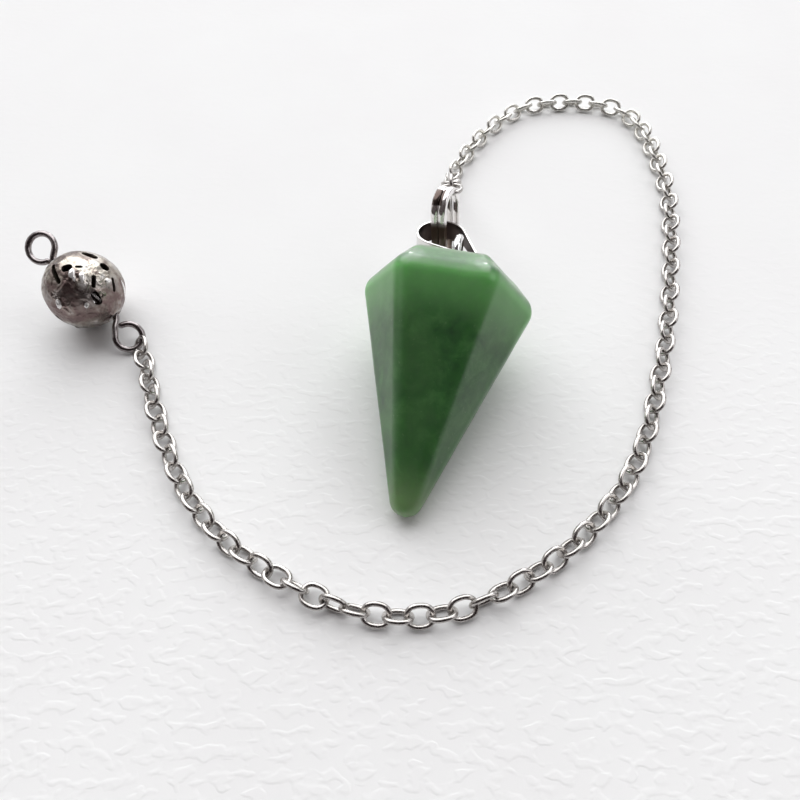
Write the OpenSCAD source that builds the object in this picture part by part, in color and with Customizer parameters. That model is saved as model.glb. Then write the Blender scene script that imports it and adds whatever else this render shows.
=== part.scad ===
// Pendulum pendant: a six-sided pointed stone that hangs from a peg eye, a bail and a
// double ring on a fine cable chain, which ends in an openwork bead on an eye pin.
// It lies as it would on a table. Millimetres, +Z up, the origin on the table under
// the middle of the whole piece, the far side of the table toward +Y.

/* [Stone] */
// From the sharp tip to the flat top
stone_length = 30.6; // [20:0.1:45]
// From the sharp tip to the shoulder, where the stone is widest
shoulder_at = 27.8; // [15:0.1:42]
// Across two opposite facets at the shoulder
stone_width = 16.6; // [8:0.1:25]
// Across two opposite sides of the flat top
top_width = 11.8; // [5:0.1:20]
// Rounding of the long edges and the shoulder
edge_round = 2; // [0.5:0.1:3]
// Rounding of the tip
tip_round = 1.7; // [0.5:0.1:2.5]
// Turn of the stone's long axis away from straight back
stone_turn = 14.7; // [0:0.1:45]

/* [Peg and eye] */
// Thickness of the peg glued into the stone
peg_thickness = 1.2; // [0.6:0.05:2]
// Depth of the peg in the stone
peg_depth = 4.4; // [2:0.1:8]
// Outer width of the eye on the peg
peg_eye_width = 4.4; // [3:0.1:7]
// Wire of the eye on the peg
peg_eye_wire = 0.9; // [0.5:0.05:1.5]

/* [Bail] */
// Inside width of the bail at its round end
bail_width = 5; // [4:0.1:6]
// Thickness of the sheet that the bail is bent from
bail_sheet = 0.3; // [0.2:0.05:0.8]
// Width of the sheet at the round end
bail_wide_end = 2.5; // [1.8:0.1:3]
// Width of the sheet in the eye
bail_narrow_end = 1.0; // [0.5:0.1:1.6]
// How far the bail has tipped down from level
bail_dip = 17; // [0:1:40]

/* [Double ring] */
// Outer length of the long double ring
ring_length = 8.7; // [7.5:0.1:10]
// Outer width of the double ring
ring_width = 5.1; // [4.5:0.1:6]
// Wire of the double ring
ring_wire = 0.9; // [0.4:0.05:1]

/* [Chain] */
// Height of the chain as it lies, over its tilted links
chain_height = 1.92; // [1:0.02:3]

/* [Bead and pin] */
// Outer width of the bead
bead_width = 9.16; // [6:0.02:14]
// Wall of the bead
bead_wall = 0.6; // [0.4:0.05:1]
// Number of repeats of the pierced pattern around the bead
bead_repeats = 8; // [5:1:10]
// Wire of the eye pin
pin_wire = 0.7; // [0.4:0.05:1]
// Outer width of the free eye of the pin
free_eye_width = 4; // [3:0.1:6]
// Outer width of the eye that holds the chain
chain_eye_width = 3.7; // [3:0.1:6]
// Gap between pieces that move or are put together
gap = 0.05; // [0.02:0.01:0.2]

/* [Hidden] */
$fn = 48;
seat = [0.18, -0.1, 0];

// stone
tip_at = [0.8, -31.8, 0];
a1 = stone_width / 2;
a2 = top_width / 2;
r = edge_round;
rise = atan(a1 / shoulder_at);
taper = atan((a1 - a2) / (stone_length - shoulder_at));
s0 = r / sin(rise);
s1 = (a1 + shoulder_at * tan(taper) - r / cos(taper) + s0 * tan(rise)) / (tan(rise) + tan(taper));
c1 = (s1 - s0) * tan(rise) / cos(30);
s2 = stone_length - r;
c2 = (a1 - (s2 - shoulder_at) * tan(taper) - r / cos(taper)) / cos(30);
st = tip_round / sin(rise);

// peg and its eye
eye_s = stone_length + 0.2 + peg_eye_width / 2;
eye_at = [8.82, -1.21, 9.44];

// bail, in its own plane from the middle of the peg eye
bail_drop = 0.3;
bail_rim = 0.9;
bail_far = [-1.4, 4.5];
bail_near = [1.5, -0.05];
bail_tip_r = 0.4;

// double ring
ring_at = [8.2, 5.4, 7.7];
ring_lean = [-18, -11, -25];

// chain: middle of the tube over the table, as x, y and the lift from its lying height
route = [
    [-27.7, -6.1, 0], [-26.5, -9.4, 0], [-25.2, -13.2, 0], [-23.7, -17, 0],
    [-22, -20.7, 0], [-20, -24.2, 0], [-17.5, -27.4, 0], [-14.6, -30.2, 0],
    [-11.3, -32.5, 0], [-7.7, -34.6, 0], [-3.9, -36.3, 0], [0, -37.2, 0],
    [4, -37.3, 0], [8, -36.5, 0], [11.8, -35, 0], [15.5, -33, 0],
    [18.8, -30.7, 0], [21.8, -28, 0], [24.5, -25, 0], [26.7, -21.6, 0],
    [28.6, -18, 0], [30.2, -14.2, 0], [31.7, -10.5, 0], [33.1, -6.7, 0],
    [34.4, -2.8, 0], [35.5, 1.1, 0], [36.6, 5, 0], [37.6, 8.9, 0],
    [38.5, 12.9, 0], [39.2, 16.9, 0], [39.4, 20.9, 0], [39.4, 25, 0],
    [39.1, 29, 0], [38.1, 32.8, 0], [35.6, 35.8, 0], [31.6, 37.3, 0],
    [27.4, 37.5, 0], [23.4, 37, 0], [19.9, 35, 0], [17, 32.2, 0],
    [14.5, 29, 0], [12.4, 25.6, 0], [11.2, 23.2, 0], [10.6, 21.8, 0.1],
    [10.2, 20.4, 0.6], [9.9, 18.2, 1.9], [9.7, 15.7, 4], [9.4, 13, 6.2],
    [9.2, 11, 7.9], [9.1, 10.1, 8.7]];
sides = 8;
half = chain_height / 2;

// bead and pin: the pin's own line is local Z, its eyes lie in the local Y-Z plane
bead_at = [-34.2, 0.36, bead_width / 2];
pin_dir = 145.8;
pin_rise = 31;
pin_roll = 164;
bead_r = bead_width / 2;
pin_r = pin_wire / 2;
free_eye = [-0.3, 0.5, 6.65];
free_eye_lean = [0, -15, -13];
chain_eye = [0.8, -0.95, -7.3];
stem_end = [0.8, -0.05, -6.1];
stem_bend = [0, 0, -4.75];

function unit(v) = v / norm(v);

module seated() { translate(seat) children(); }

module along_stone() {
    translate(tip_at) rotate([0, 0, -stone_turn]) rotate([rise - 90, 0, 0]) children();
}

module corners(s, c) {
    for (k = [0:5]) rotate([0, 0, 60 * k]) translate([c, 0, s]) sphere(r = r, $fn = 32);
}

module wire_ring(width, wire) {
    rotate_extrude() translate([(width - wire) / 2, 0]) circle(d = wire, $fn = 32);
}

module rod(from, to, rad) {
    d = to - from;
    translate(from) rotate([0, acos(d[2] / norm(d)), atan2(d[1], d[0])])
        cylinder(r = rad, h = norm(d), $fn = 32);
}

// the pointed stone, lying on one long facet, drilled for the peg
module stone() {
    color([0.22, 0.42, 0.22]) seated() difference() {
        intersection() {
            translate([0, 0, -0.03]) along_stone() hull() {
                translate([0, 0, st]) sphere(r = tip_round, $fn = 32);
                corners(s1, c1);
                corners(s2, c2);
            }
            translate([-30, -50, 0]) cube([90, 80, 40]);
        }
        along_stone() translate([0, 0, stone_length - peg_depth - gap])
            cylinder(d = peg_thickness + 2 * gap, h = peg_depth + 2);
    }
}

// the glued peg with its collar and upright eye
module eye_peg() {
    color([0.75, 0.75, 0.77]) seated() along_stone() {
        translate([0, 0, stone_length - peg_depth]) cylinder(d = peg_thickness, h = peg_depth + 0.3);
        translate([0, 0, stone_length + gap]) cylinder(d = 2.6, h = 0.4);
        translate([0, 0, eye_s]) rotate([0, 90, 0]) wire_ring(peg_eye_width, peg_eye_wire);
    }
}

module drop_shape(grow) {
    hull() {
        translate(bail_far) circle(r = bail_width / 2 + grow, $fn = 72);
        translate(bail_near) circle(r = bail_tip_r + grow, $fn = 36);
    }
}

// the drop-shaped loop of sheet that hangs in the eye, wider at its round end
module bail() {
    d = bail_far - bail_near;
    total = norm(d) + bail_width / 2 + bail_tip_r + 2 * bail_sheet;
    n = bail_narrow_end / 2;
    deep = bail_wide_end - bail_rim;
    color([0.7, 0.7, 0.72]) seated() translate(eye_at) rotate([-bail_dip, 0, 0])
        translate([0, 0, -bail_drop]) intersection() {
            linear_extrude(height = 2 * bail_wide_end, center = true) difference() {
                drop_shape(bail_sheet);
                drop_shape(0);
            }
            translate([bail_near[0], bail_near[1], 0]) rotate([0, 0, atan2(d[1], d[0])])
                rotate([90, 0, 0]) linear_extrude(height = 20, center = true)
                    polygon([[-bail_tip_r - bail_sheet - 0.1, -n], [total, -deep], [total, bail_rim],
                             [-bail_tip_r - bail_sheet - 0.1, n]]);
        }
}

// section of the double ring: two wires side by side along X, middle at y = 0
module two_wires() {
    translate([ring_wire / 2, 0]) circle(d = ring_wire, $fn = 32);
    translate([-ring_wire / 2, 0]) circle(d = ring_wire, $fn = 32);
    square([ring_wire, ring_wire * 0.8], center = true);
}

// one rounded end of the double ring, over the height where the straight sides stop
module ring_end() {
    rotate([90, 0, 90]) rotate_extrude(angle = 180)
        translate([(ring_width - ring_wire) / 2, 0]) rotate([0, 0, 90]) two_wires();
}

// the two close turns of wire that join bail and chain, a long ring with round ends
module split_ring() {
    side = (ring_length - ring_width) / 2;
    color([0.72, 0.72, 0.74]) seated() translate(ring_at) rotate(ring_lean) {
        translate([0, 0, side]) ring_end();
        mirror([0, 0, 1]) translate([0, 0, side]) ring_end();
        for (m = [-1, 1]) translate([0, m * (ring_width - ring_wire) / 2, -side])
            linear_extrude(height = 2 * side) two_wires();
    }
}

// the lying chain as one tube along its route
module chain() {
    n = len(route);
    mid = [for (p = route) [p[0], p[1], p[2] + half]];
    dir = [for (i = [0:n - 1]) unit(mid[min(i + 1, n - 1)] - mid[max(i - 1, 0)])];
    rad = half / cos(180 / sides);
    pts = [for (i = [0:n - 1]) let (s = unit(cross(dir[i], [0, 0, 1])), u = cross(s, dir[i]))
        for (k = [0:sides - 1]) let (a = 360 * (k + 0.5) / sides) mid[i] + rad * (cos(a) * s + sin(a) * u)];
    walls = [for (i = [0:n - 2]) for (k = [0:sides - 1]) let (j = (k + 1) % sides)
        for (f = [[i * sides + k, i * sides + j, (i + 1) * sides + j],
                  [i * sides + k, (i + 1) * sides + j, (i + 1) * sides + k]]) f];
    start = [for (k = [0:sides - 1]) sides - 1 - k];
    end = [for (k = [0:sides - 1]) (n - 1) * sides + k];
    color([0.78, 0.78, 0.8]) seated() polyhedron(points = pts, faces = concat(walls, [start, end]));
}

module in_bead() {
    translate(bead_at) rotate([0, 0, pin_dir]) rotate([0, 90 - pin_rise, 0]) rotate([0, 0, pin_roll]) children();
}

// a cut through the wall at a latitude, long side along or across the pattern
module pierce(lat, lon, long, wide, lean) {
    rotate([0, 0, lon]) rotate([0, -lat, 0]) rotate([0, 90, 0]) rotate([0, 0, lean])
        translate([0, 0, bead_r * 0.6]) linear_extrude(height = bead_r) {
            square([long, wide], center = true);
            translate([long / 2, 0]) circle(d = wide, $fn = 24);
            translate([-long / 2, 0]) circle(d = wide, $fn = 24);
        }
}

// the hollow pierced bead
module bead() {
    color([0.76, 0.74, 0.7]) seated() in_bead() difference() {
        sphere(r = bead_r, $fn = 96);
        sphere(r = bead_r - bead_wall, $fn = 96);
        cylinder(r = pin_r + gap, h = bead_width + 2, center = true, $fn = 32);
        for (k = [0:bead_repeats - 1]) let (lon = 52 + 360 * k / bead_repeats) {
            pierce(21, lon, 1.1, 0.6, 0);
            rotate([0, 0, lon]) rotate([0, 97, 0]) translate([0, 0, bead_r * 0.6])
                cylinder(d = 1.1, h = bead_r, $fn = 32);
            pierce(-34, lon - 5, 1.1, 0.55, 20);
        }
    }
}

// the pin through the bead with a turned eye at each end
module eye_pin() {
    color([0.35, 0.33, 0.33]) seated() in_bead() {
        rod(stem_bend, [0, 0, free_eye[2] - (free_eye_width - pin_wire) / 2 + 0.05], pin_r);
        translate(stem_bend) sphere(r = pin_r, $fn = 32);
        rod(stem_bend, stem_end, pin_r);
        translate(free_eye) rotate(free_eye_lean) rotate([0, 90, 0]) wire_ring(free_eye_width, pin_wire);
        translate(chain_eye) rotate([0, 90, 0]) wire_ring(chain_eye_width, pin_wire);
    }
}

stone();
eye_peg();
bail();
split_ring();
chain();
bead();
eye_pin();
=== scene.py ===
import bpy
import math
import numpy as np
from mathutils import Vector, Matrix

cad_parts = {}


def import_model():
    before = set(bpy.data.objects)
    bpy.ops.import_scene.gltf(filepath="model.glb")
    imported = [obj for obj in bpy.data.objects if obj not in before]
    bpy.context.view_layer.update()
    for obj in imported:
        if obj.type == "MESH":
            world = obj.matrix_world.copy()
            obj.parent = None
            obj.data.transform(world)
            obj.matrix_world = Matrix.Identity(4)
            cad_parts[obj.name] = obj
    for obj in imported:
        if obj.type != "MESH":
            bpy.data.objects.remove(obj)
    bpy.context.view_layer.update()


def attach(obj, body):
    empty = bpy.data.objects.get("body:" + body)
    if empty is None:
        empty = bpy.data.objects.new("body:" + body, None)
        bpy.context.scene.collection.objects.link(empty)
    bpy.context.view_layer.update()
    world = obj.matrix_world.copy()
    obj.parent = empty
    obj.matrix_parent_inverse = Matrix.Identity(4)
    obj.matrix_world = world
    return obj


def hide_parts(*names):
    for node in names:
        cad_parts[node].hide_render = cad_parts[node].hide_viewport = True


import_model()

MM = 0.001
SEAT = np.array([0.18, -0.1, 0.0])
rng = np.random.default_rng(7)


def world(p):
    """Millimetres in the drawing's own place to metres in the row frame."""
    return (np.asarray(p, float) + SEAT) * MM


def unit(v):
    v = np.asarray(v, float)
    return v / np.linalg.norm(v)


def rx(a):
    c, s = math.cos(math.radians(a)), math.sin(math.radians(a))
    return np.array([[1, 0, 0], [0, c, -s], [0, s, c]])


def ry(a):
    c, s = math.cos(math.radians(a)), math.sin(math.radians(a))
    return np.array([[c, 0, s], [0, 1, 0], [-s, 0, c]])


def rz(a):
    c, s = math.cos(math.radians(a)), math.sin(math.radians(a))
    return np.array([[c, -s, 0], [s, c, 0], [0, 0, 1]])


def outward(verts, faces):
    """The faces turned round when they look into the solid."""
    p = np.asarray(verts, float)
    tri = np.array([(f[0], f[k], f[k + 1]) for f in faces for k in range(1, len(f) - 1)])
    a, b, c = p[tri[:, 0]], p[tri[:, 1]], p[tri[:, 2]]
    return faces if (a * np.cross(b, c)).sum() > 0 else [tuple(f)[::-1] for f in faces]


def make(name, verts, faces, mat, smooth=True, closed=True):
    if closed:
        faces = outward(verts, faces)
    me = bpy.data.meshes.new(name)
    me.from_pydata([tuple(v) for v in verts], [], [tuple(f) for f in faces])
    me.validate()
    me.update()
    ob = bpy.data.objects.new(name, me)
    bpy.context.scene.collection.objects.link(ob)
    if smooth:
        me.polygons.foreach_set("use_smooth", [True] * len(me.polygons))
    if mat is not None:
        me.materials.append(mat)
    return ob


def catmull(pts, per):
    """A smooth run through the points, per steps between each two."""
    p = np.asarray(pts, float)
    p = np.vstack([2 * p[0] - p[1], p, 2 * p[-1] - p[-2]])
    out = []
    for i in range(1, len(p) - 2):
        a, b, c, d = p[i - 1], p[i], p[i + 1], p[i + 2]
        for k in range(per):
            t = k / per
            out.append(0.5 * (2 * b + (c - a) * t + (2 * a - 5 * b + 4 * c - d) * t * t
                              + (3 * b - a - 3 * c + d) * t ** 3))
    out.append(p[-2])
    return np.array(out)


def even(path, step):
    """The path with its points step apart."""
    d = np.r_[0, np.cumsum(np.linalg.norm(np.diff(path, axis=0), axis=1))]
    n = max(2, int(round(d[-1] / step)) + 1)
    s = np.linspace(0, d[-1], n)
    return np.stack([np.interp(s, d, path[:, k]) for k in range(3)], 1)


def frames(path, closed=False):
    """Tangent, normal and side at each point, turning as little as possible."""
    n = len(path)
    if closed:
        t = np.roll(path, -1, 0) - np.roll(path, 1, 0)
    else:
        t = np.gradient(path, axis=0)
    t /= np.linalg.norm(t, axis=1)[:, None]
    ref = np.array([0, 0, 1.0]) if abs(t[0][2]) < 0.9 else np.array([1.0, 0, 0])
    v = unit(np.cross(t[0], ref))
    vs = [v]
    for i in range(1, n):
        v = v - t[i] * v.dot(t[i])
        v = unit(v)
        vs.append(v)
    vs = np.array(vs)
    ws = np.cross(t, vs)
    if closed:
        a = math.atan2(vs[0].dot(ws[-1]), vs[0].dot(vs[-1]))
        for i in range(n):
            f = a * i / n
            c, s = math.cos(f), math.sin(f)
            vs[i], ws[i] = c * vs[i] + s * ws[i], -s * vs[i] + c * ws[i]
    return t, vs, ws


def tube(path, radius, sides=16, closed=False, round_ends=True):
    """Round wire along the path; radius is a number or one for each point."""
    n = len(path)
    rad = np.full(n, radius) if np.isscalar(radius) else np.asarray(radius, float)
    t, v, w = frames(path, closed)
    a = np.linspace(0, 2 * np.pi, sides, endpoint=False)
    rings = [path[i] + rad[i] * (np.cos(a)[:, None] * v[i] + np.sin(a)[:, None] * w[i]) for i in range(n)]
    if not closed and round_ends:
        head, tail = [], []
        for f in (0.3, 0.6, 0.85, 0.98):
            k = math.sqrt(1 - f * f)
            head.append(path[0] - t[0] * rad[0] * f + rad[0] * k * (np.cos(a)[:, None] * v[0] + np.sin(a)[:, None] * w[0]))
            tail.append(path[-1] + t[-1] * rad[-1] * f + rad[-1] * k * (np.cos(a)[:, None] * v[-1] + np.sin(a)[:, None] * w[-1]))
        rings = head[::-1] + rings + tail
    m = len(rings)
    verts = np.vstack(rings)
    faces = []
    for i in range(m if closed else m - 1):
        j = (i + 1) % m
        for k in range(sides):
            l = (k + 1) % sides
            faces.append((i * sides + k, i * sides + l, j * sides + l, j * sides + k))
    if not closed:
        faces.append(tuple(range(sides))[::-1])
        faces.append(tuple((m - 1) * sides + k for k in range(sides)))
    return verts, faces


def join_parts(parts):
    vs, fs, o = [], [], 0
    for v, f in parts:
        vs.append(v)
        fs += [tuple(i + o for i in g) for g in f]
        o += len(v)
    return np.vstack(vs), fs


def lathe(profile, seg=64):
    """Turned shape round local Z from (radius, height) points."""
    prof = np.asarray(profile, float)
    a = np.linspace(0, 2 * np.pi, seg, endpoint=False)
    verts = np.vstack([np.stack([r * np.cos(a), r * np.sin(a), np.full(seg, z)], 1) for r, z in prof])
    faces = []
    for i in range(len(prof) - 1):
        for k in range(seg):
            l = (k + 1) % seg
            faces.append((i * seg + k, i * seg + l, (i + 1) * seg + l, (i + 1) * seg + k))
    faces.append(tuple(range(seg))[::-1])
    faces.append(tuple((len(prof) - 1) * seg + k for k in range(seg)))
    return verts, faces


# ---------------------------------------------------------------- places

TIP = np.array([0.8, -31.8, 0.0])
SHOULDER, LENGTH = 27.8, 30.6
A1, A2 = 8.3, 5.9
RISE = math.degrees(math.atan(A1 / SHOULDER))
R_STONE = rz(-14.7) @ rx(RISE - 90)
BEAD = np.array([-34.2, 0.36, 4.58])
BEAD_R = 4.58
R_BEAD = rz(145.8) @ ry(59) @ rz(164)
RING = np.array([8.2, 5.4, 7.7])
R_RING = rz(-25) @ ry(-11) @ rx(-18)

# ---------------------------------------------------------------- materials

def new_mat(name):
    m = bpy.data.materials.new(name)
    m.use_nodes = True
    nt = m.node_tree
    nt.nodes.clear()
    out = nt.nodes.new("ShaderNodeOutputMaterial")
    bs = nt.nodes.new("ShaderNodeBsdfPrincipled")
    nt.links.new(bs.outputs[0], out.inputs[0])
    return m, nt, bs


def noise(nt, co, scale, detail=3.0, rough=0.5, dist=0.0):
    n = nt.nodes.new("ShaderNodeTexNoise")
    n.inputs["Scale"].default_value = scale
    n.inputs["Detail"].default_value = detail
    n.inputs["Roughness"].default_value = rough
    n.inputs["Distortion"].default_value = dist
    nt.links.new(co, n.inputs["Vector"])
    return n.outputs["Fac"]


def ramp(nt, fac, stops, mode="LINEAR"):
    r = nt.nodes.new("ShaderNodeValToRGB")
    r.color_ramp.interpolation = mode
    e = r.color_ramp.elements
    while len(e) > len(stops):
        e.remove(e[-1])
    while len(e) < len(stops):
        e.new(0.5)
    for i, (p, c) in enumerate(stops):
        e[i].position = p
        e[i].color = (c, c, c, 1) if np.isscalar(c) else (*c, 1)
    nt.links.new(fac, r.inputs[0])
    return r.outputs[0]


def mix(nt, fac, a, b, kind="MIX"):
    m = nt.nodes.new("ShaderNodeMix")
    m.data_type = "RGBA"
    m.blend_type = kind
    for s, v in ((m.inputs[0], fac), (m.inputs[6], a), (m.inputs[7], b)):
        if hasattr(v, "links") or isinstance(v, bpy.types.NodeSocket):
            nt.links.new(v, s)
        elif np.isscalar(v):
            s.default_value = v
        else:
            s.default_value = (*v, 1)
    return m.outputs[2]


def math_node(nt, op, a, b=0.0, clamp=False):
    m = nt.nodes.new("ShaderNodeMath")
    m.operation = op
    m.use_clamp = clamp
    for s, v in ((m.inputs[0], a), (m.inputs[1], b)):
        if isinstance(v, bpy.types.NodeSocket):
            nt.links.new(v, s)
        else:
            s.default_value = v
    return m.outputs[0]


def bump(nt, bs, height, strength, distance):
    b = nt.nodes.new("ShaderNodeBump")
    b.inputs["Strength"].default_value = strength
    b.inputs["Distance"].default_value = distance
    nt.links.new(height, b.inputs["Height"])
    nt.links.new(b.outputs[0], bs.inputs["Normal"])
    return b


def obj_co(nt):
    return nt.nodes.new("ShaderNodeTexCoord").outputs["Object"]


def stretched(nt, co, scale):
    n = nt.nodes.new("ShaderNodeMapping")
    n.inputs["Scale"].default_value = scale
    nt.links.new(co, n.inputs["Vector"])
    return n.outputs[0]


def span_of(nt, value, lo, hi, a=0.0, b=1.0, kind="SMOOTHSTEP"):
    n = nt.nodes.new("ShaderNodeMapRange")
    n.interpolation_type = kind
    nt.links.new(value, n.inputs[0])
    for i, v in enumerate((lo, hi, a, b)):
        n.inputs[i + 1].default_value = v
    return n.outputs[0]


def along_axis(nt, co, axis, origin):
    """How far each place lies along an axis from an origin, in metres."""
    n = nt.nodes.new("ShaderNodeVectorMath")
    n.operation = "DOT_PRODUCT"
    nt.links.new(co, n.inputs[0])
    n.inputs[1].default_value = tuple(axis)
    return math_node(nt, "SUBTRACT", n.outputs["Value"], float(np.dot(axis, origin)))


def metal(name, light, dark, rough_lo, rough_hi, tarnish=0.3, scale=900.0, bump_mm=0.01):
    m, nt, bs = new_mat(name)
    co = obj_co(nt)
    bs.inputs["Metallic"].default_value = 1.0
    cloud = noise(nt, co, scale * 0.45, 5, 0.62)
    fine = noise(nt, co, scale * 3.2, 4, 0.6)
    fac = ramp(nt, cloud, [(0.42, 0.0), (0.72, tarnish)])
    nt.links.new(mix(nt, fac, light, dark), bs.inputs["Base Color"])
    rr = nt.nodes.new("ShaderNodeMapRange")
    nt.links.new(fine, rr.inputs[0])
    rr.inputs[1].default_value = 0.3
    rr.inputs[2].default_value = 0.75
    rr.inputs[3].default_value = rough_lo
    rr.inputs[4].default_value = rough_hi
    nt.links.new(rr.outputs[0], bs.inputs["Roughness"])
    h = mix(nt, 0.5, cloud, fine)
    bump(nt, bs, h, 0.35, bump_mm * MM)
    return m


def stone_material():
    m, nt, bs = new_mat("stone_green")
    co = obj_co(nt)
    s = along_axis(nt, co, R_STONE @ np.array([0, 0, 1.0]), world(TIP))
    big = noise(nt, co, 130, 3, 0.55, 0.6)
    mid = noise(nt, co, 480, 6, 0.65, 0.4)
    grain = noise(nt, co, 3200, 3, 0.6)
    base = ramp(nt, mid, [(0.32, (0.030, 0.097, 0.032)), (0.50, (0.043, 0.138, 0.040)), (0.68, (0.074, 0.205, 0.064))])
    patch = ramp(nt, big, [(0.44, 0.0), (0.72, 0.5)])
    base = mix(nt, patch, base, (0.095, 0.215, 0.078))
    # painted light: light comes through behind the shoulder and at the point, so the colour is painted paler there
    painted_shoulder_light = math_node(nt, "MULTIPLY", span_of(nt, s, 0.0215, 0.0272, 0.0, 0.72), span_of(nt, s, 0.0283, 0.0270, 0.12, 1.0))
    base = mix(nt, painted_shoulder_light, base, (0.20, 0.49, 0.17))
    # painted light at the point: the colour is painted paler towards the tip
    point = span_of(nt, s, 0.0100, 0.0035)
    base = mix(nt, point, base, (0.22, 0.33, 0.16))
    flat = span_of(nt, s, 0.0296, 0.0304)
    base = mix(nt, flat, base, (0.20, 0.24, 0.18))
    speck = ramp(nt, grain, [(0.66, 0.0), (0.74, 0.35)])
    base = mix(nt, speck, base, (0.24, 0.40, 0.20))
    nt.links.new(base, bs.inputs["Base Color"])
    bs.inputs["Roughness"].default_value = 0.30
    bs.inputs["Specular IOR Level"].default_value = 0.42
    bs.inputs["IOR"].default_value = 1.54
    bs.inputs["Subsurface Weight"].default_value = 1.0
    bs.inputs["Subsurface Radius"].default_value = (0.45, 1.0, 0.40)
    bs.inputs["Subsurface Scale"].default_value = 0.0036
    # the two corners above the front facet are worn to a higher gloss
    gloss = []
    for corner in ((3.9, -6.6, 15.4), (11.0, -8.3, 15.35)):
        dist = nt.nodes.new("ShaderNodeVectorMath")
        dist.operation = "DISTANCE"
        nt.links.new(co, dist.inputs[0])
        dist.inputs[1].default_value = tuple(c * MM for c in corner)
        gloss.append(span_of(nt, dist.outputs["Value"], 1.5 * MM, 0.9 * MM, 0.0, 0.86))
    nt.links.new(math_node(nt, "ADD", math_node(nt, "ADD", gloss[0], gloss[1]), 0.13), bs.inputs["Coat Weight"])
    bs.inputs["Coat Roughness"].default_value = 0.05
    h = mix(nt, 0.35, mid, grain)
    bump(nt, bs, h, 0.15, 0.03 * MM)
    return m


def bead_material():
    """Silver that is dark wherever the worked surface lies low, and in the hollow."""
    m, nt, bs = new_mat("bead_silver")
    co = obj_co(nt)
    d = nt.nodes.new("ShaderNodeVectorMath")
    d.operation = "DISTANCE"
    nt.links.new(co, d.inputs[0])
    d.inputs[1].default_value = tuple(world(BEAD))
    cloud = noise(nt, co, 520, 4, 0.55, 0.5)
    fine = noise(nt, co, 2600, 4, 0.6)
    tone = ramp(nt, cloud, [(0.34, (0.66, 0.64, 0.62)), (0.48, (0.55, 0.51, 0.44)), (0.56, (0.30, 0.255, 0.225)), (0.64, (0.145, 0.108, 0.10))])
    r = math_node(nt, "ADD", d.outputs["Value"], math_node(nt, "MULTIPLY", fine, 0.05 * MM))
    low = span_of(nt, r, (BEAD_R - 0.06) * MM, (BEAD_R - 0.20) * MM)
    col = mix(nt, math_node(nt, "MULTIPLY", low, 0.55), tone, (0.16, 0.125, 0.115))
    # painted reflection: the side toward the front is painted a brownish purple, most of all round its middle, for the
    # dark room it mirrors
    v = along_axis(nt, co, (-0.10, -0.62, -0.78), world(BEAD))
    painted_front_reflection = math_node(nt, "MULTIPLY", span_of(nt, v, -2.3 * MM, -0.6 * MM), span_of(nt, v, 3.6 * MM, 1.2 * MM, 0.5, 1.0))
    painted_front_reflection = math_node(nt, "MULTIPLY", painted_front_reflection, span_of(nt, cloud, 0.36, 0.54, 0.45, 0.85))
    col = mix(nt, painted_front_reflection, col, (0.185, 0.128, 0.125))
    proud = span_of(nt, r, (BEAD_R - 0.07) * MM, (BEAD_R - 0.02) * MM)
    col = mix(nt, proud, col, (0.90, 0.88, 0.87))
    deep = span_of(nt, r, (BEAD_R - 0.28) * MM, (BEAD_R - 0.42) * MM)
    col = mix(nt, deep, col, (0.11, 0.09, 0.07))
    nt.links.new(col, bs.inputs["Base Color"])
    nt.links.new(span_of(nt, r, (BEAD_R - 0.10) * MM, (BEAD_R - 0.04) * MM, 1.0, 0.55), bs.inputs["Metallic"])
    rough = math_node(nt, "ADD", span_of(nt, fine, 0.3, 0.75, 0.18, 0.32), math_node(nt, "MULTIPLY", low, 0.22))
    rough = math_node(nt, "MULTIPLY", rough, span_of(nt, r, (BEAD_R - 0.10) * MM, (BEAD_R - 0.04) * MM, 1.0, 0.45))
    nt.links.new(rough, bs.inputs["Roughness"])
    worn = noise(nt, co, 950, 2, 0.5, 0.8)
    bump(nt, bs, mix(nt, 0.12, worn, fine), 0.9, 0.30 * MM)
    return m


def floor_material():
    m, nt, bs = new_mat("floor_paper")
    co = obj_co(nt)
    fib = noise(nt, co, 1400, 5, 0.6)
    soft = noise(nt, co, 60, 3, 0.5)
    col = ramp(nt, soft, [(0.3, (0.875, 0.870, 0.872)), (0.7, (0.89, 0.89, 0.89))])
    nt.links.new(col, bs.inputs["Base Color"])
    bs.inputs["Roughness"].default_value = 0.75
    bs.inputs["Specular IOR Level"].default_value = 0.2
    wide = stretched(nt, co, (0.62, 1.0, 1.0))
    creases = noise(nt, wide, 1000, 1.0, 0.4, 0.25)
    ridge = ramp(nt, creases, [(0.47, 0.0), (0.66, 1.0)], "EASE")
    h = mix(nt, 0.05, ridge, fib)
    sep = nt.nodes.new("ShaderNodeSeparateXYZ")
    nt.links.new(co, sep.inputs[0])
    near = span_of(nt, sep.outputs[1], 0.012, -0.040, 0.25, 1.0)
    bump(nt, bs, math_node(nt, "MULTIPLY", h, near), 1.0, 0.020 * MM)
    return m


M_STONE = stone_material()


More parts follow.
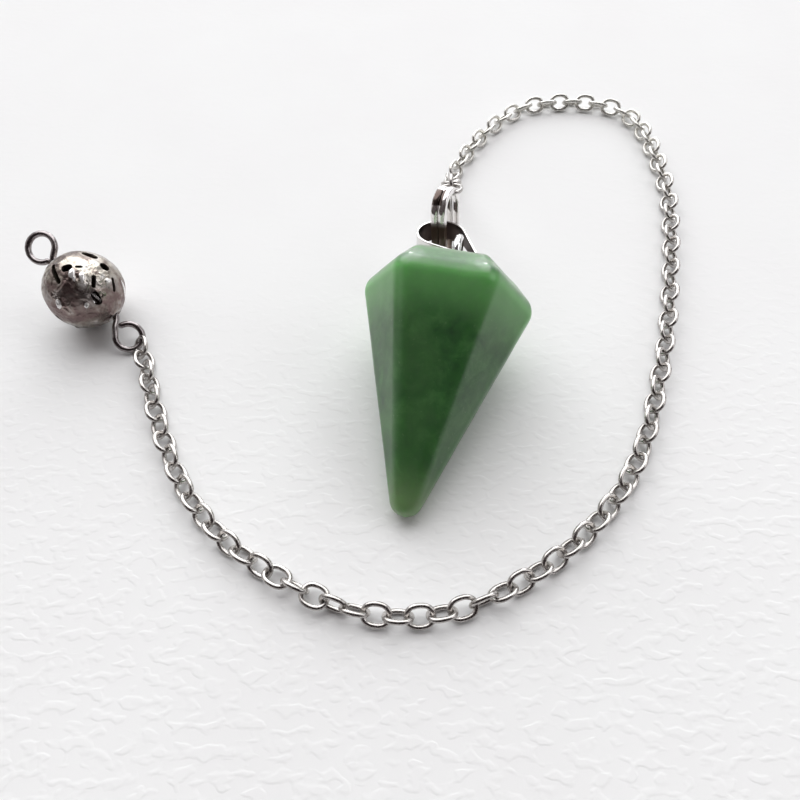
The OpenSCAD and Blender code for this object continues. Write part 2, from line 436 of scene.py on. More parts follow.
def ring_material():
    """Worn silver; the lower bend, inside the bail, is painted dark brown as shade."""
    m = metal("ring_silver", (0.96, 0.93, 0.925), (0.82, 0.775, 0.77), 0.10, 0.20, 0.2, 900)
    nt = m.node_tree
    bs = next(n for n in nt.nodes if n.type == "BSDF_PRINCIPLED")
    col = bs.inputs["Base Color"].links[0].from_socket
    # painted shade: the lower bend inside the bail is coloured dark brown and made less metallic
    up = along_axis(nt, obj_co(nt), R_RING @ np.array([0, 0, 1.0]), world(RING))
    side = along_axis(nt, obj_co(nt), R_RING @ np.array([0, 1.0, 0]), world(RING))
    up = math_node(nt, "ADD", up, span_of(nt, side, -0.5 * MM, 0.5 * MM, 0.0, 2.3 * MM))
    low = span_of(nt, up, 1.35 * MM, 0.45 * MM)
    col = mix(nt, low, col, (0.13, 0.092, 0.070))
    # painted reflection: a dark patch on the near strand, at the upper left, for the dark room mirrored there
    x, y, z = (along_axis(nt, obj_co(nt), R_RING @ np.array(a), world(RING)) for a in ((1.0, 0, 0), (0, 1.0, 0), (0, 0, 1.0)))
    patch = span_of(nt, x, 0.50 * MM, 0.36 * MM)
    patch = math_node(nt, "MULTIPLY", patch, span_of(nt, x, -0.80 * MM, -0.70 * MM))
    patch = math_node(nt, "MULTIPLY", patch, span_of(nt, y, -0.35 * MM, -0.60 * MM))
    patch = math_node(nt, "MULTIPLY", patch, span_of(nt, z, 2.90 * MM, 3.05 * MM))
    nt.links.new(mix(nt, patch, col, (0.095, 0.072, 0.064)), bs.inputs["Base Color"])
    nt.links.new(span_of(nt, low, 0.0, 1.0, 0.90, 0.3), bs.inputs["Metallic"])
    return m


M_RING = ring_material()
def chain_material():
    """Steel wire, a little matt, with painted light: paler and less metallic along the far run."""
    m = metal("chain_steel", (0.56, 0.535, 0.515), (0.22, 0.20, 0.185), 0.20, 0.34, 0.5, 1500)
    nt = m.node_tree
    bs = next(n for n in nt.nodes if n.type == "BSDF_PRINCIPLED")
    col = bs.inputs["Base Color"].links[0].from_socket
    # painted light: the far run is painted paler and less metallic, for the brighter light there
    far = span_of(nt, along_axis(nt, obj_co(nt), (0, 1.0, 0), (0, 0, 0)), 0.008, 0.034, 0.0, 0.6)
    nt.links.new(mix(nt, far, col, (0.80, 0.79, 0.74)), bs.inputs["Base Color"])
    nt.links.new(span_of(nt, far, 0.0, 0.75, 1.0, 0.7), bs.inputs["Metallic"])
    return m


M_CHAIN = chain_material()
M_BAIL = metal("bail_silver", (0.78, 0.77, 0.75), (0.40, 0.37, 0.35), 0.09, 0.20, 0.35, 1100)
# painted shade: the inner faces of the bail get a near-black silver
M_BAIL_SHADE = metal("bail_painted_shade", (0.075, 0.055, 0.05), (0.03, 0.022, 0.02), 0.35, 0.5, 0.8, 1100)
M_PEG = metal("peg_silver", (0.82, 0.82, 0.82), (0.50, 0.48, 0.46), 0.08, 0.2, 0.3, 1200)
M_PIN = metal("pin_dark", (0.34, 0.31, 0.31), (0.16, 0.14, 0.14), 0.16, 0.32, 0.6, 1500)
M_BEAD = bead_material()
M_FLOOR = floor_material()

# ---------------------------------------------------------------- stone

TIP_R, EDGE_R, TOP_R = 1.7, 2.1, 1.4


def stone_mesh():
    """A six-sided point with every edge rounded: the hull of thirteen balls, met by rays from inside."""
    al = math.radians(RISE)
    be = math.atan((A1 - A2) / (LENGTH - SHOULDER))
    ta, tb = math.tan(al), math.tan(be)
    c30 = math.cos(math.radians(30))
    s0 = EDGE_R / math.sin(al)
    s1 = (A1 + SHOULDER * tb - EDGE_R / math.cos(be) + s0 * ta) / (ta + tb)
    c1 = (s1 - s0) * ta / c30
    s2 = LENGTH - TOP_R
    c2 = (A1 - (s2 - SHOULDER) * tb - TOP_R / math.cos(be)) / c30
    tip = (np.array([0, 0, TIP_R / math.sin(al)]), TIP_R)
    turn = [np.array([math.cos(math.radians(60 * k)), math.sin(math.radians(60 * k)), 0]) for k in range(6)]
    low = [(c1 * u + [0, 0, s1], EDGE_R) for u in turn]
    top = [(c2 * u + [0, 0, s2], TOP_R) for u in turn]
    mids = [math.radians(30 + 60 * k) for k in range(6)]
    F = [np.array([math.cos(f) * math.cos(al), math.sin(f) * math.cos(al), -math.sin(al)]) for f in mids]
    G = [np.array([math.cos(f) * math.cos(be), math.sin(f) * math.cos(be), math.sin(be)]) for f in mids]
    T = np.array([0, 0, 1.0])
    planes = [(n, max(c @ n + r for c, r in [tip] + low + top)) for n in F + G + [T]]

    def edge(n1, n2, ball_a, ball_b):
        """Planes that touch both balls, from one facet round to the next."""
        d = ball_a[0] - ball_b[0]
        L = np.linalg.norm(d)
        u = d / L
        m = (ball_b[1] - ball_a[1]) / L
        p, q = unit(n1 - u * (n1 @ u)), unit(n2 - u * (n2 @ u))
        w = math.acos(np.clip(p @ q, -1, 1))
        for t in np.linspace(0, 1, 240):
            v = (math.sin((1 - t) * w) * p + math.sin(t * w) * q) / math.sin(w)
            n = m * u + math.sqrt(1 - m * m) * v
            planes.append((n, ball_a[0] @ n + ball_a[1]))

    for k in range(6):
        j = (k + 1) % 6
        edge(F[k], F[j], low[j], tip)
        edge(F[k], G[k], low[k], low[j])
        edge(G[k], G[j], low[j], top[j])
        edge(G[k], T, top[k], top[j])
    N = np.array([n for n, _ in planes])
    H = np.array([h for _, h in planes])
    balls = [tip] + low + top
    mid = np.array([0, 0, 20.0])
    room = H - N @ mid

    def solve(dirs):
        shape = dirs.shape[:-1]
        d = dirs.reshape(-1, 3)
        t = np.empty(len(d))
        for i in range(0, len(d), 1500):
            c = d[i:i + 1500] @ N.T
            t[i:i + 1500] = np.where(c > 1e-6, room / np.maximum(c, 1e-6), 1e9).min(1)
        for c, r in balls:
            e = mid - c
            b = d @ e
            q = b * b - e @ e + r * r
            u = -b + np.sqrt(np.maximum(q, 0))
            n = (mid + d * u[:, None] - c) / r
            h = np.max([n @ cc + rr for cc, rr in balls], 0)
            good = (q > 0) & (h - (n @ c + r) < 1e-7)
            t = np.where(good, np.minimum(t, u), t)
        p = mid + d * t[:, None]
        x, y, z = p.T
        t = t - 0.016 * np.sin(0.75 * x + 0.5 * z + 1.1) * np.cos(0.9 * y - 0.33 * z) \
            - 0.008 * np.sin(1.7 * y + 1.1 * z) * np.cos(1.5 * x + 0.4) - 0.02
        return (mid + d * t[:, None]).reshape(*shape, 3)

    psi = np.linspace(0.0005, math.pi - 0.0005, 3000)
    th = math.radians(30)
    d = np.stack([np.sin(psi) * math.cos(th), np.sin(psi) * math.sin(th), -np.cos(psi)], 1)
    p = solve(d)
    s = np.r_[0, np.cumsum(np.linalg.norm(np.diff(p, axis=0), axis=1))]
    rings = 210
    ps = np.interp(np.linspace(0, s[-1], rings), s, psi)
    seg = 288
    th = np.linspace(0, 2 * np.pi, seg, endpoint=False)
    P, T_ = np.meshgrid(ps[1:-1], th, indexing="ij")
    d = np.stack([np.sin(P) * np.cos(T_), np.sin(P) * np.sin(T_), -np.cos(P)], -1)
    pts = solve(d)
    n = pts.shape[0]
    ends = solve(np.array([[0, 0, -1.0], [0, 0, 1.0]]))
    verts = np.vstack([pts.reshape(-1, 3), ends])
    faces = []
    for i in range(n - 1):
        for k in range(seg):
            l = (k + 1) % seg
            faces.append((i * seg + k, (i + 1) * seg + k, (i + 1) * seg + l, i * seg + l))
    a, b = n * seg, n * seg + 1
    for k in range(seg):
        l = (k + 1) % seg
        faces.append((a, k, l))
        faces.append((b, (n - 1) * seg + l, (n - 1) * seg + k))
    w = verts @ R_STONE.T + TIP
    w[:, 2] = np.maximum(w[:, 2], 0.004)
    return world(w), faces


v, fcs = stone_mesh()
stone = make("pointed_stone", v, fcs, M_STONE)
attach(stone, "pendant")
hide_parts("stone")

# ---------------------------------------------------------------- peg and eye


def along_stone(p):
    return np.asarray(p, float) @ R_STONE.T + TIP


def peg_parts():
    parts = []
    prof = [(0.55, LENGTH - 1.5), (0.55, LENGTH + 0.02), (1.22, LENGTH + 0.02), (1.30, LENGTH + 0.08),
            (1.31, LENGTH + 0.22), (1.24, LENGTH + 0.34), (1.05, LENGTH + 0.42), (0.78, LENGTH + 0.50), (0.6, LENGTH + 0.66), (0.3, LENGTH + 0.7)]
    parts.append(lathe(prof, 48))
    a = np.linspace(0, 2 * np.pi, 72, endpoint=False)
    s = LENGTH + 0.2 + 2.2
    ring = np.stack([0 * a, 1.75 * np.cos(a), s + 1.75 * np.sin(a)], 1)
    parts.append(tube(ring, 0.45, 20, closed=True))
    return [(world(along_stone(v)), f) for v, f in parts]


v, fcs = join_parts(peg_parts())
peg = make("peg_with_eye", v, fcs, M_PEG)
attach(peg, "pendant")
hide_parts("eye_peg")

# ---------------------------------------------------------------- bail

EYE = np.array([8.82, -1.21, 9.44])
DIP = 17.0
C_FAR, R_FAR = np.array([-1.4, 4.5]), 2.5
C_NEAR, R_NEAR = np.array([1.5, -0.05]), 0.4
B_X = np.array([1.0, 0, 0])
B_E = rx(-DIP) @ np.array([0, 1.0, 0])
B_N = rx(-DIP) @ np.array([0, 0, 1.0])


def drop_path(grow, n=260):
    """Evenly spaced outline of the drop shape."""
    d = C_FAR - C_NEAR
    L = np.linalg.norm(d)
    t = math.atan2(d[1], d[0])
    ra, rb = R_FAR + grow, R_NEAR + grow
    f = math.pi - math.acos((R_FAR - R_NEAR) / L)
    pts = []
    for a in np.linspace(t - f, t + f, 200):
        pts.append(C_FAR + ra * np.array([math.cos(a), math.sin(a)]))
    for a in np.linspace(t + f, t + 2 * math.pi - f, 120):
        pts.append(C_NEAR + rb * np.array([math.cos(a), math.sin(a)]))
    p = np.array(pts + [pts[0]])
    s = np.r_[0, np.cumsum(np.linalg.norm(np.diff(p, axis=0), axis=1))]
    q = np.linspace(0, s[-1], n, endpoint=False)
    return np.stack([np.interp(q, s, p[:, 0]), np.interp(q, s, p[:, 1])], 1)


def bail_mesh():
    th = 0.3
    p = drop_path(th / 2)
    n = len(p)
    tan = np.roll(p, -1, 0) - np.roll(p, 1, 0)
    tan /= np.linalg.norm(tan, axis=1)[:, None]
    nor = np.stack([tan[:, 1], -tan[:, 0]], 1)
    d = unit(C_FAR - C_NEAR)
    total = np.linalg.norm(C_FAR - C_NEAR) + R_FAR + R_NEAR + 2 * th
    along = np.clip(((p - C_NEAR) @ d + R_NEAR + th + 0.1) / (total + R_NEAR + th + 0.1), 0, 1)
    up, low = 0.5 + 0.4 * along, -0.5 - 1.1 * along
    # rounded strip section: out of the loop, then which edge, then the step in from that edge
    e = 0.1
    sec = []
    for cx, side, a0 in ((th / 2 - e, 1, 0), (-(th / 2 - e), 1, 90), (-(th / 2 - e), -1, 180), (th / 2 - e, -1, 270)):
        for a in np.linspace(a0, a0 + 90, 6):
            sec.append((cx + e * math.cos(math.radians(a)), side, e * math.sin(math.radians(a))))
        if side == 1 and a0 == 90 or side == -1 and a0 == 270:
            # points between the two edges, on the inner or the outer face
            for g in (0.8, 0.6, 0.4, 0.2) if side == 1 else (0.2, 0.4, 0.6, 0.8):
                sec.append((-th / 2 if side == 1 else th / 2, 0, g))
    m = len(sec)
    verts = []
    for i in range(n):
        lo, hi = low[i] + e, up[i] - e
        for o, side, dy in sec:
            if side == 0:
                y = lo + (hi - lo) * dy
                o = o + 0.02 * math.sin(9 * i / n * 2 * math.pi + 5 * dy) * (1 if o > 0 else -1)
            else:
                y = (hi if side == 1 else lo) + dy
            q = p[i] + nor[i] * o
            verts.append(EYE - 0.3 * B_N + q[0] * B_X + q[1] * B_E + y * B_N)
    faces, inside = [], []
    for i in range(n):
        j = (i + 1) % n
        for k in range(m):
            l = (k + 1) % m
            faces.append((i * m + k, j * m + k, j * m + l, i * m + l))
            inside.append(sec[k][0] < -0.1 and sec[l][0] < -0.1)
    return world(np.array(verts)), faces, inside


v, fcs, inside = bail_mesh()
bail = make("drop_bail", v, fcs, M_BAIL)
# the inner faces take the painted-shade material
bail.data.materials.append(M_BAIL_SHADE)
bail.data.polygons.foreach_set("material_index", [int(q) for q in inside])
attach(bail, "pendant")
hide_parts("bail")

# ---------------------------------------------------------------- double ring

RING_B, RING_A, RING_W = 2.1, 3.9, 0.45


def ring_mesh():
    """One flattened wire wound two close turns into a long ring; it changes lane, and its ends lie, in the lower bend."""
    side = RING_A - RING_B

    def bend(a0, a1, up):
        """Along one round end, from angle a0 to a1 as seen from the near side over the end."""
        k = max(2, int(abs(a1 - a0) / 3))
        a = np.radians(np.linspace(a0, a1, k, endpoint=False))
        return [(-RING_B * math.cos(t), (side + RING_B * math.sin(t)) if up else -(side + RING_B * math.sin(t))) for t in a]

    def straight(y, z0, z1):
        return [(y, z) for z in np.linspace(z0, z1, 30, endpoint=False)]

    near, far = straight(-RING_B, -side, side), straight(RING_B, side, -side)
    one = bend(62, 0, False) + near + bend(0, 180, True) + far
    over = bend(180, 0, False)
    two = near + bend(0, 180, True) + far + bend(180, 146, False)
    yz = np.array(one + over + two)
    lane = RING_W + 0.002
    x = np.full(len(yz), -lane)
    f = np.clip((np.linspace(0, 180, len(over)) - 30) / 90, 0, 1)
    i = len(one)
    x[i:i + len(over)] = lane * (2 * (f * f * (3 - 2 * f)) - 1)
    x[i + len(over):] = lane
    path = even(np.stack([x, yz[:, 0], yz[:, 1]], 1), 0.11)
    t = np.gradient(path, axis=0)
    t /= np.linalg.norm(t, axis=1)[:, None]
    b = np.array([1.0, 0, 0]) - t * t[:, :1]
    b /= np.linalg.norm(b, axis=1)[:, None]
    o = np.cross(t, b)
    sides = 32
    a = np.linspace(0, 2 * np.pi, sides, endpoint=False)
    ex = 2 / 3.4
    sb = RING_W * np.sign(np.cos(a)) * np.abs(np.cos(a)) ** ex
    so = (RING_W - 0.06) * np.sign(np.sin(a)) * np.abs(np.sin(a)) ** ex
    n = len(path)
    grow = np.ones(n)
    grow[0] = grow[-1] = 0.84
    verts = np.vstack([path[k] + grow[k] * (sb[:, None] * b[k] + so[:, None] * o[k]) for k in range(n)])
    faces = []
    for k in range(n - 1):
        for q in range(sides):
            l = (q + 1) % sides
            faces.append((k * sides + q, k * sides + l, (k + 1) * sides + l, (k + 1) * sides + q))
    faces.append(tuple(range(sides))[::-1])
    faces.append(tuple((n - 1) * sides + q for q in range(sides)))
    return world(verts @ R_RING.T + RING), faces


v, fcs = ring_mesh()
ring = make("double_ring", v, fcs, M_RING)
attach(ring, "pendant")
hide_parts("split_ring")

# ---------------------------------------------------------------- chain

REST = 0.96
ROUTE = [
    (-27.9, -5.6, 0), (-26.5, -9.4, 0), (-25.2, -13.2, 0), (-23.7, -17, 0),
    (-22, -20.7, 0), (-20, -24.2, 0), (-17.5, -27.4, 0), (-14.6, -30.2, 0),
    (-11.3, -32.5, 0), (-7.7, -34.6, 0), (-3.9, -36.3, 0), (0, -37.2, 0),
    (4, -37.3, 0), (8, -36.5, 0), (11.8, -35, 0), (15.5, -33, 0),
    (18.8, -30.7, 0), (21.8, -28, 0), (24.5, -25, 0), (26.7, -21.6, 0),
    (28.6, -18, 0), (30.2, -14.2, 0), (31.7, -10.5, 0), (33.1, -6.7, 0),
    (34.4, -2.8, 0), (35.5, 1.1, 0), (36.6, 5, 0), (37.6, 8.9, 0),
    (38.5, 12.9, 0), (39.2, 16.9, 0), (39.4, 20.9, 0), (39.4, 25, 0),
    (39.1, 29, 0), (38.1, 32.8, 0), (35.6, 35.8, 0), (31.6, 37.3, 0),
    (27.4, 37.5, 0), (23.4, 37, 0), (19.9, 35, 0), (17, 32.2, 0),
    (14.5, 29, 0), (12.4, 25.6, 0), (11.2, 23.2, 0), (10.6, 21.8, 0.1),
    (10.2, 20.4, 0.6), (9.9, 18.2, 1.9), (9.7, 15.7, 4.0), (9.4, 13.0, 6.2),
    (9.2, 11.0, 7.9), (9.05, 9.7, 8.6), (8.85, 8.4, 9.2)]
PITCH = 2.0
LINKS = 96
# link number and how many full pitches along it sits: the lying chain is a little slack
SLACK = [(1, 1.0), (2, 1.98), (3, 2.86), (4, 3.77), (5, 4.65), (6, 5.7), (7, 6.73), (10, 9.82), (14, 13.83), (16, 15.8), (20, 19.87),
         (30, 29.88), (40, 39.81), (50, 49.88), (60, 60.0), (63, 62.98), (64, 63.88), (65, 64.75), (66, 65.65), (67, 66.5), (68, 67.38),
         (69, 68.18), (70, 69.05), (71, 70.05), (74, 72.95), (77, 75.83), (96, 94.65)]
# how far some links are rolled round the chain's line, where it lies less evenly
ROLLS = {16: -48, 17: 44, 18: -22, 19: -72, 20: -2, 21: 75, 22: -59, 23: 31, 24: -48, 25: 33, 26: -45, 27: 36, 28: 92, 29: -42}
TURNED = 29


def link_template(half=(1.25, 1.0), seg=44, sides=12):
    a = np.linspace(0, 2 * np.pi, seg, endpoint=False)
    ex = 2 / 2.35
    cx = half[0] * np.sign(np.cos(a)) * np.abs(np.cos(a)) ** ex
    cy = half[1] * np.sign(np.sin(a)) * np.abs(np.sin(a)) ** ex
    path = np.stack([cx, cy, 0 * a], 1)
    t = np.roll(path, -1, 0) - np.roll(path, 1, 0)
    t /= np.linalg.norm(t, axis=1)[:, None]
    out = np.stack([t[:, 1], -t[:, 0], 0 * a], 1)
    b = np.linspace(0, 2 * np.pi, sides, endpoint=False)
    verts = np.vstack([path[i] + 0.25 * (np.cos(b)[:, None] * out[i] + np.sin(b)[:, None] * np.array([0, 0, 1.0]))
                       for i in range(seg)])
    faces = []
    for i in range(seg):
        j = (i + 1) % seg
        for k in range(sides):
            l = (k + 1) % sides
            faces.append((i * sides + k, j * sides + k, j * sides + l, i * sides + l))
    return verts, faces


def chain_mesh():
    path = catmull(np.array(ROUTE, float) + [0, 0, REST], 24)
    d = np.r_[0, np.cumsum(np.linalg.norm(np.diff(path, axis=0), axis=1))]
    count = LINKS
    idx = np.arange(count)
    s = np.interp(idx + 1, [a for a, _ in SLACK], [b for _, b in SLACK]) * PITCH - PITCH
    print("chain", round(float(d[-1]), 2), round(float(s[-1]), 2))
    at = np.stack([np.interp(s, d, path[:, k]) for k in range(3)], 1)
    tv, tf = link_template()
    end, _ = link_template((1.5, 1.22))
    parts = []
    for i in range(count):
        lo, hi = max(s[i] - 1.0, 0), min(s[i] + 1.0, d[-1])
        a = np.array([np.interp(lo, d, path[:, k]) for k in range(3)])
        b = np.array([np.interp(hi, d, path[:, k]) for k in range(3)])
        t = unit(b - a)
        right = unit(np.cross(t, [0, 0, 1.0]))
        up = np.cross(right, t)
        k = i + 1
        roll = ROLLS.get(k, (42 if (k % 2 == 1) == (k <= TURNED) else -45) + rng.uniform(-6, 6))
        # the last links turn so that the end link stands across the double ring
        axis = R_RING @ np.array([1.0, 0, 0])
        last = math.degrees(math.atan2(-(axis @ up), axis @ right))
        base = 42 if count % 2 == 0 else -45
        roll += ((last - base + 90) % 180 - 90) * np.clip((i - (count - 12)) / 11, 0, 1)
        roll = math.radians(roll)
        nrm = math.cos(roll) * up + math.sin(roll) * right
        lat = np.cross(nrm, t)
        M = np.stack([t, lat, nrm], 1)
        v = (end if i == count - 1 else tv) @ M.T + at[i]
        if v[:, 2].min() < 0.004:
            v[:, 2] += 0.004 - v[:, 2].min()
        parts.append((world(v), tf))
    print("links", count, "length mm", round(float(d[-1]), 1))
    return join_parts(parts)


v, fcs = chain_mesh()
chain = make("chain_links", v, fcs, M_CHAIN)
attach(chain, "pendant")
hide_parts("chain")

# ---------------------------------------------------------------- bead


def in_bead(p):
    return np.asarray(p, float) @ R_BEAD.T + BEAD


def sph(lat, lon, r=1.0):
    la, lo = np.radians(lat), np.radians(lon)
    return r * np.stack([np.cos(la) * np.cos(lo), np.cos(la) * np.sin(lo), np.sin(la)], -1)


def bead_cells():
    """Middles of the small leaf-shaped lobes, row by row, as latitude and longitude."""
    g = np.random.default_rng(5)
    out = []
    for i, lat in enumerate((-66, -40, -14, 12, 38, 64)):
        n = max(5, int(round(15 * math.cos(math.radians(lat)))))
        for k in range(n):
            out.append((lat + g.uniform(-8, 8), 360 / n * (k + 0.5 * (i % 2)) + g.uniform(-8, 8), g.uniform(0.4, 1.2)))
    return np.array(out)


# latitude, longitude, half length, half width, lean and height of the raised marks
RAISED = [(0, -42.4, 0.55, 0.34, -66, 0.26), (-30.4, -18.3, 0.38, 0.24, -56, 0.26), (-47, 73, 1.3, 0.24, 16, 0.18), (4.8, 2.5, 0.35, 0.2, -50, 0.10),
          (-26, 38, 0.4, 0.26, 60, 0.20), (13, 6, 0.6, 0.3, -50, 0.16), (0, 12, 0.55, 0.28, -45, 0.16), (-3, 130, 0.5, 0.3, -60, 0.18), (-28, 170, 0.4, 0.26, -50, 0.18),
          (4, 222, 0.5, 0.3, -64, 0.18), (-30, 262, 0.4, 0.26, -56, 0.18), (30, 250, 0.45, 0.3, 40, 0.15), (28, 110, 0.45, 0.3, 40, 0.15),
          (-48, 200, 1.2, 0.24, 14, 0.15)]


def bead_relief(LA, LO):
    """How far the worked surface lies inside the round, in millimetres, always zero or less."""
    cells = bead_cells()
    out = np.empty_like(LA)
    for i in range(len(LA)):
        la, lo = LA[i][:, None], LO[i][:, None]
        dy = (la - cells[:, 0]) * 1.0
        dx = (lo - cells[:, 1] + 180) % 360 - 180
        dx = dx * np.cos(np.radians(la))
        e = np.sqrt((dy / 15.0) ** 2 + (dx / 12.5) ** 2)
        k = np.argsort(e, 1)[:, :2]
        e1 = np.take_along_axis(e, k, 1)
        gap = e1[:, 1] - e1[:, 0]
        high = cells[k[:, 0], 2]
        lobe = 1 - np.exp(-gap / 0.5)
        crown = np.clip(1 - e1[:, 0] ** 2, 0, 1)
        out[i] = 0.05 + high * (0.036 * lobe + 0.042 * crown)
    dent = 0.03 * np.sin(np.radians(3 * LO + 40)) * np.cos(np.radians(2.3 * LA)) + 0.025 * np.sin(np.radians(5 * LO - 2 * LA))
    fine = np.sin(np.radians(17 * LO + 9 * LA)) * np.sin(np.radians(11 * LA - 13 * LO + 50)) * np.cos(np.radians(6 * LO + 7 * LA))
    dent = dent + 0.016 * fine
    # raised drops and one raised rib among the lobes
    for lat0, lon0, long, wide, lean, up in RAISED:
        y = LA - lat0
        x = ((LO - lon0 + 180) % 360 - 180) * np.cos(np.radians(LA))
        c, s = math.cos(math.radians(lean)), math.sin(math.radians(lean))
        u, v = (-y * c + x * s) * 0.0799, (y * s + x * c) * 0.0799
        dent = dent + up * np.exp(-((u / long) ** 2 + (v / wide) ** 2) ** 1.6)
    collar = np.exp(-((np.abs(LA) - 79) / 4.5) ** 2)
    out = out * (1 - collar) + 0.17 * collar + dent * (1 - collar)
    return out - 0.24


def bead_mesh():
    nlat, nlon, nin = 200, 330, 60
    lat = np.linspace(-84.5, 84.5, nlat)
    lon = np.linspace(0, 360, nlon, endpoint=False)
    LA, LO = np.meshgrid(lat, lon, indexing="ij")
    outer = sph(LA, LO) * (BEAD_R + np.minimum(bead_relief(LA, LO), -0.01))[..., None]
    LI, LJ = np.meshgrid(np.linspace(-84.5, 84.5, nin), lon, indexing="ij")
    inner = sph(LI, LJ) * (BEAD_R - 0.62)
    verts = np.vstack([outer.reshape(-1, 3), inner.reshape(-1, 3)])
    o = nlat * nlon
    faces = []
    for k in range(nlon):
        l = (k + 1) % nlon
        for i in range(nlat - 1):
            faces.append((i * nlon + k, i * nlon + l, (i + 1) * nlon + l, (i + 1) * nlon + k))
        for i in range(nin - 1):
            faces.append((o + i * nlon + k, o + (i + 1) * nlon + k, o + (i + 1) * nlon + l, o + i * nlon + l))
        faces.append((k, o + k, o + l, l))
        a, b = (nlat - 1) * nlon, o + (nin - 1) * nlon
        faces.append((a + k, a + l, b + l, b + k))
    return verts, faces


def cutter(lat, lon, long, wide, lean, rot_lat=True):
    """A round-ended slot cutter, radial at that place of the bead."""
    out = []
    r = wide / 2
    for cx, a0 in ((long / 2, -90), (-long / 2, 90)):
        for a in np.linspace(a0, a0 + 180, 13):
            out.append((cx + r * math.cos(math.radians(a)), r * math.sin(math.radians(a))))
    c, s = math.cos(math.radians(lean)), math.sin(math.radians(lean))
    ring = [(x * c - y * s, x * s + y * c) for x, y in out]
    M = rz(lon) @ ry(-lat) @ ry(90)
    lo = np.array([(x, y, BEAD_R * 0.6) for x, y in ring]) @ M.T
    hi = np.array([(x * 1.08, y * 1.08, BEAD_R * 1.3) for x, y in ring]) @ M.T
    n = len(ring)
    verts = np.vstack([lo, hi])
    faces = [tuple(range(n))[::-1], tuple(range(n, 2 * n))]
    for k in range(n):
        l = (k + 1) % n
        faces.append((k, l, n + l, n + k))
    return verts, faces


def bead_object():
    v, f = bead_mesh()
    ob = make("pierced_bead", v * MM, f, M_BEAD)
    g = np.random.default_rng(11)
    cuts = []
    for k in range(8):
        lon = 52 + 45 * k
        if k == 0:
            cuts += [cutter(21, 55.5, 0.72, 1.0, 0), cutter(-7, 51.4, 0.05, 1.05, 0), cutter(-35, 44.5, 1.25, 0.36, -24)]
        elif k == 7:
            cuts += [cutter(24.7, 8.4, 0.28, 0.92, 50), cutter(-15, 18, 0.95, 0.48, -48), cutter(-34.5, 1.8, 0.75, 0.85, -22)]
        elif k == 6:
            cuts += [cutter(34, -11, 2.2, 0.55, -17), cutter(13.4, 20.6, 0.42, 0.34, 43)]
        else:
            j = g.uniform(-4, 4, 6)
            cuts += [cutter(21 + j[0], lon + j[1], 1.0, 0.5, j[2] * 5), cutter(-7 + j[3], lon + j[4], 0.3, 0.8, j[5] * 8),
                     cutter(-34 + j[2], lon - 5 + j[0], 1.05, 0.45, 20 + j[1] * 4)]
    cv, cf = join_parts(cuts)
    cut = make("cut", cv * MM, cf, None, smooth=False)
    mod = ob.modifiers.new("cut", "BOOLEAN")
    mod.operation = "DIFFERENCE"
    mod.solver = "EXACT"
    mod.object = cut
    bv = ob.modifiers.new("bevel", "BEVEL")
    bv.width = 0.05 * MM
    bv.segments = 2
    bv.limit_method = "ANGLE"
    bv.angle_limit = math.radians(50)
    dg = bpy.context.evaluated_depsgraph_get()
    me = bpy.data.meshes.new_from_object(ob.evaluated_get(dg))
    ob.modifiers.clear()
    ob.data = me
    bpy.data.objects.remove(cut)
    co = np.empty(len(me.vertices) * 3)
    me.vertices.foreach_get("co", co)
    w = (co.reshape(-1, 3) / MM) @ R_BEAD.T + BEAD
    w = world(w)
    w[:, 2] = np.maximum(w[:, 2], 0.003 * MM)
    me.vertices.foreach_set("co", w.ravel())
    me.update()
    me.polygons.foreach_set("use_smooth", [True] * len(me.polygons))
    if not me.materials:
        me.materials.append(M_BEAD)
    return ob


bead = bead_object()
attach(bead, "bead")
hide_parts("bead")

# ---------------------------------------------------------------- eye pin


def pin_mesh():
    F, RF = np.array([-0.3, 0.5, 6.65]), 1.65
    lean = rz(-13) @ ry(-15)
    G, RG = np.array([0.8, -0.95, -7.3]), 1.5
    pts = []
    for a in np.arange(245, -66, -12.0):
        r = math.radians(a)
        x = -0.10 - 0.25 * (a - 90) / 155 if a > 90 else -0.10
        pts.append(tuple(F + lean @ np.array([x, RF * math.cos(r), RF * math.sin(r)])))
    pts += [(0.10, 0.62, 4.90), (0.02, 0.22, 4.60), (0, 0.05, 4.2), (0, 0, 3.4), (0, 0, 0), (0, 0, -3.6), (0.02, -0.02, -4.4), (0.22, -0.45, -4.95), (0.58, -1.15, -5.45)]
    for a in np.arange(132, 437, 12.0):
        r = math.radians(a)
        x = G[0] + 0.25 * max(0, (a - 280)) / 155
        pts.append((x, G[1] + RG * math.cos(r), G[2] + RG * math.sin(r)))
    path = catmull(np.array(pts), 12)
    path = even(path, 0.16)
    w = in_bead(path)
    w[:, 2] = np.maximum(w[:, 2], 0.36)
    return tube(world(w), 0.35 * MM, 18)


v, fcs = pin_mesh()
pin = make("eye_pin_wire", v, fcs, M_PIN)
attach(pin, "pendant")
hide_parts("eye_pin")

# ---------------------------------------------------------------- floor, light, camera

fl = make("floor", [(-1.2, -1.2, -0.00002), (1.2, -1.2, -0.00002), (1.2, 1.6, -0.00002), (-1.2, 1.6, -0.00002)], [(0, 1, 2, 3)], M_FLOOR, smooth=False, closed=False)


def area(name, loc, target, size, power, color=(1, 1, 1), size_y=None):
    d = bpy.data.lights.new(name, "AREA")
    d.energy = power
    d.color = color
    d.shape = "RECTANGLE"
    d.size = size
    d.size_y = size_y or size
    o = bpy.data.objects.new(name, d)
    bpy.context.scene.collection.objects.link(o)
    o.location = loc
    o.rotation_euler = (Vector(target) - Vector(loc)).to_track_quat("-Z", "Y").to_euler()
    return o


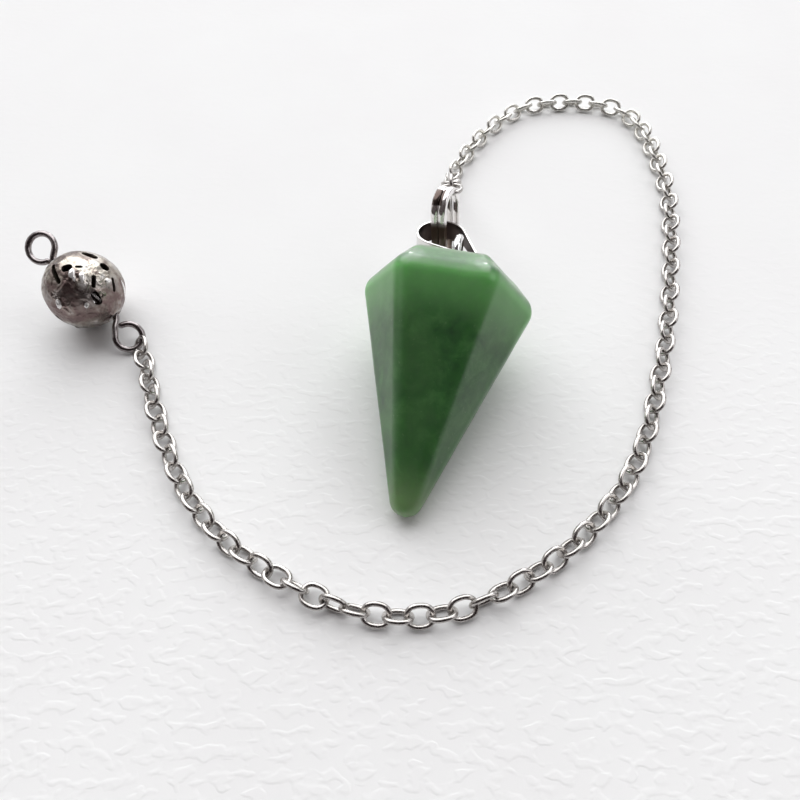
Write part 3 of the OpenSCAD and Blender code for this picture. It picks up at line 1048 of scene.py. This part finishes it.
area("window_behind", (-0.20, 2.30, 2.40), (0, 0, 0), 5.6, 170.0, (1.0, 1.0, 1.0), 4.0)
area("far_pane_left", (0.0, 3.0, 0.25), (0, 0, 0), 0.38, 5.0)
area("far_pane_right", (0.85, 2.875, 0.28), (0, 0, 0), 0.38, 5.0)
area("side_left", (-1.65, 0.15, 0.90), (0, 0, 0), 1.0, 2.0, (1.0, 0.99, 0.98))
area("side_right", (1.65, 0.10, 1.10), (0, 0, 0), 1.2, 7.5, (0.99, 0.99, 1.0))

w = bpy.data.worlds.new("room")
bpy.context.scene.world = w
w.use_nodes = True
nt = w.node_tree
nt.nodes.clear()
out = nt.nodes.new("ShaderNodeOutputWorld")
bg = nt.nodes.new("ShaderNodeBackground")
nt.links.new(bg.outputs[0], out.inputs[0])
co = nt.nodes.new("ShaderNodeTexCoord").outputs["Generated"]
sep = nt.nodes.new("ShaderNodeSeparateXYZ")
nt.links.new(co, sep.inputs[0])
back = math_node(nt, "MULTIPLY_ADD", sep.outputs[1], 0.5, False)
back.node.inputs[2].default_value = 0.5
room = ramp(nt, back, [(0.0, (0.030, 0.021, 0.022)), (0.35, (0.050, 0.038, 0.039)), (0.55, (0.16, 0.15, 0.15)), (0.80, (0.35, 0.35, 0.36)), (1.0, (1.30, 1.38, 1.42))])
nt.links.new(room, bg.inputs[0])
bg.inputs[1].default_value = 1.0

cam = bpy.data.cameras.new("camera")
cam.lens = 28.8
cam.sensor_width = 36.0
cam.clip_start = 0.002
cam.clip_end = 10
co_ = bpy.data.objects.new("camera", cam)
bpy.context.scene.collection.objects.link(co_)
R = unit((0.99917, -0.0348, -0.0214))
Fw = unit((0.0, 0.5245, -0.8514))
U = unit(np.cross(R, Fw))
R = np.cross(Fw, U)
m = Matrix(((R[0], U[0], -Fw[0], 0), (R[1], U[1], -Fw[1], 0), (R[2], U[2], -Fw[2], 0), (0, 0, 0, 1)))
m.translation = Vector(world((2.0, -51.0, 60.58)))
co_.matrix_world = m
bpy.context.scene.camera = co_
bpy.context.scene.view_settings.view_transform = "Standard"
